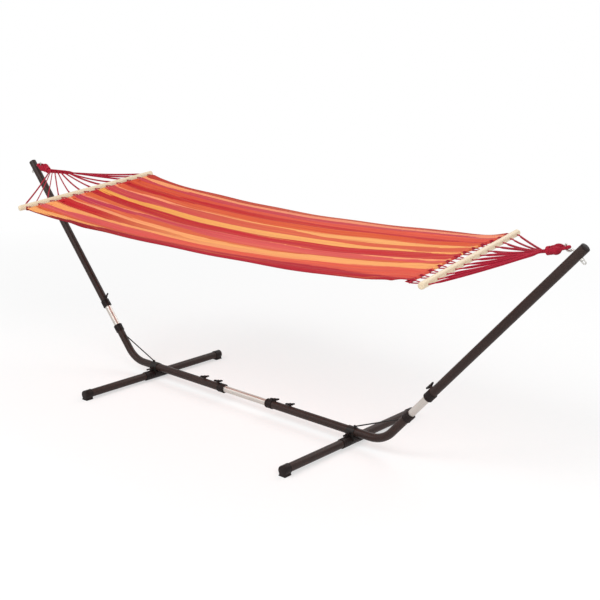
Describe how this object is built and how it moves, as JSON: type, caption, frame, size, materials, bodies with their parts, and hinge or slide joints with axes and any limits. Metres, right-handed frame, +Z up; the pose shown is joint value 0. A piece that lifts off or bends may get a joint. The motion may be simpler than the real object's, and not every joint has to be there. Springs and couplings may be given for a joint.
{
  "type": "hammock on stand",
  "caption": "Striped cloth hammock with wooden spreader bars, hung by rope loops from the hooks of a telescopic steel stand with cross feet.",
  "frame": {"origin": "on the floor under the middle of the base tube, midway between the four feet", "axes": "+X runs along the stand to its right end, -Y to the front ends of the feet, +Z up"},
  "size_m": [3.3474, 0.924, 1.0471],
  "materials": {
    "hammered_paint": "hammered, semi gloss",
    "black_paint": "satin",
    "bare_steel": "drawn, satin",
    "black_plastic": "satin",
    "zinc": "zinc plated",
    "pale_wood": "varnished beech",
    "striped_cloth": "woven cotton, striped",
    "red_cord": "braided cord"
  },
  "bodies": {
    "left_stand": {"left_base_tube": "hammered_paint", "left_centre_collar": "black_plastic", "left_elbow_collar": "black_plastic", "left_base_bosses": "hammered_paint", "left_riser": "bare_steel", "left_foot_hub": "hammered_paint", "left_saddle": "black_paint", "left_brace": "black_paint", "left_front_foot": "hammered_paint", "left_rear_foot": "hammered_paint", "left_foot_collars": "black_plastic", "left_front_cap": "black_plastic", "left_rear_cap": "black_plastic"},
    "centre": {"centre_tube": "bare_steel"},
    "right_stand": {"right_base_tube": "hammered_paint", "right_centre_collar": "black_plastic", "right_elbow_collar": "black_plastic", "right_base_bosses": "hammered_paint", "right_riser": "bare_steel", "right_foot_hub": "hammered_paint", "right_saddle": "black_paint", "right_brace": "black_paint", "right_front_foot": "hammered_paint", "right_rear_foot": "hammered_paint", "right_foot_collars": "black_plastic", "right_front_cap": "black_plastic", "right_rear_cap": "black_plastic"},
    "left_arm": {"left_arm_tube": "hammered_paint", "left_arm_collar": "black_plastic", "left_arm_boss": "hammered_paint", "left_arm_cap": "black_plastic", "left_hook": "zinc", "left_eye_nut": "zinc"},
    "right_arm": {"right_arm_tube": "hammered_paint", "right_arm_collar": "black_plastic", "right_arm_boss": "hammered_paint", "right_arm_cap": "black_plastic", "right_hook": "zinc", "right_eye_nut": "zinc"},
    "hammock_left": {"left_loop": "red_cord", "left_whipping": "red_cord", "left_cords": "red_cord", "left_spreader": "pale_wood", "left_hem_rope": "red_cord", "cloth": "striped_cloth"},
    "hammock_right": {"right_spreader": "pale_wood", "right_hem_rope": "red_cord", "right_cords": "red_cord"},
    "right_rope": {"right_loop": "red_cord", "right_whipping": "red_cord"},
    "left_inner_knob": {"left_inner_knob": "black_plastic"},
    "left_outer_knob": {"left_outer_knob": "black_plastic"},
    "left_arm_knob": {"left_arm_knob": "black_plastic"},
    "left_cross_bolt": {"left_cross_bolt": "black_plastic"},
    "left_cross_nut": {"left_cross_nut": "black_plastic"},
    "right_inner_knob": {"right_inner_knob": "black_plastic"},
    "right_outer_knob": {"right_outer_knob": "black_plastic"},
    "right_arm_knob": {"right_arm_knob": "black_plastic"},
    "right_cross_bolt": {"right_cross_bolt": "black_plastic"},
    "right_cross_nut": {"right_cross_nut": "black_plastic"}
  },
  "joints": [
    {"name": "base_slide", "type": "slide", "parent": "left_stand", "child": "centre", "axis": [1, 0, 0], "range_m": [-0.1, 0.03]},
    {"name": "right_base_slide", "type": "slide", "parent": "centre", "child": "right_stand", "axis": [1, 0, 0], "range_m": [-0.1, 0.03]},
    {"name": "left_arm_slide", "type": "slide", "parent": "left_stand", "child": "left_arm", "axis": [-0.6561, 0, 0.7547], "range_m": [-0.1, 0.05]},
    {"name": "right_arm_slide", "type": "slide", "parent": "right_stand", "child": "right_arm", "axis": [0.6561, 0, 0.7547], "range_m": [-0.1, 0.05]},
    {"name": "hammock_swing", "type": "hinge", "parent": "left_arm", "child": "hammock_left", "pos_m": [-1.59435, 0, 1.02509], "axis": [1, 0, 0], "range_deg": [-20, 20]},
    {"name": "cloth_stretch", "type": "slide", "parent": "hammock_left", "child": "hammock_right", "axis": [1, 0, 0], "range_m": [-0.2, 0.06], "deforming": ["cloth"]},
    {"name": "rope_stretch", "type": "slide", "parent": "hammock_right", "child": "right_rope", "axis": [1, 0, 0], "range_m": [-0.1313, 0.0657], "deforming": ["right_cords"]},
    {"name": "left_inner_knob_turn", "type": "hinge", "parent": "left_stand", "child": "left_inner_knob", "pos_m": [-0.188, 0, 0.0643], "axis": [0, 0, 1], "continuous": true},
    {"name": "left_outer_knob_turn", "type": "hinge", "parent": "left_stand", "child": "left_outer_knob", "pos_m": [-0.284, 0, 0.0643], "axis": [0, 0, 1], "continuous": true},
    {"name": "left_arm_knob_turn", "type": "hinge", "parent": "left_arm", "child": "left_arm_knob", "pos_m": [-1.06399, 0, 0.34958], "axis": [0.7547, 0, 0.6561], "continuous": true},
    {"name": "left_cross_bolt_turn", "type": "hinge", "parent": "left_stand", "child": "left_cross_bolt", "pos_m": [-0.65, 0, 0.0583], "axis": [0, -1, 0], "continuous": true},
    {"name": "left_cross_nut_turn", "type": "hinge", "parent": "left_stand", "child": "left_cross_nut", "pos_m": [-0.65, 0, 0.0583], "axis": [0, 1, 0], "continuous": true},
    {"name": "right_inner_knob_turn", "type": "hinge", "parent": "right_stand", "child": "right_inner_knob", "pos_m": [0.188, 0, 0.0643], "axis": [0, 0, 1], "continuous": true},
    {"name": "right_outer_knob_turn", "type": "hinge", "parent": "right_stand", "child": "right_outer_knob", "pos_m": [0.284, 0, 0.0643], "axis": [0, 0, 1], "continuous": true},
    {"name": "right_arm_knob_turn", "type": "hinge", "parent": "right_arm", "child": "right_arm_knob", "pos_m": [1.06399, 0, 0.34958], "axis": [-0.7547, 0, 0.6561], "continuous": true},
    {"name": "right_cross_bolt_turn", "type": "hinge", "parent": "right_stand", "child": "right_cross_bolt", "pos_m": [0.65, 0, 0.0583], "axis": [0, -1, 0], "continuous": true},
    {"name": "right_cross_nut_turn", "type": "hinge", "parent": "right_stand", "child": "right_cross_nut", "pos_m": [0.65, 0, 0.0583], "axis": [0, 1, 0], "continuous": true}
  ],
  "couplings": [
    {"joint": "right_base_slide", "follows": "base_slide", "ratio": 1},
    {"joint": "cloth_stretch", "follows": "base_slide", "ratio": 2},
    {"joint": "right_arm_slide", "follows": "left_arm_slide", "ratio": 1},
    {"joint": "rope_stretch", "follows": "left_arm_slide", "ratio": 1.3121}
  ]
}
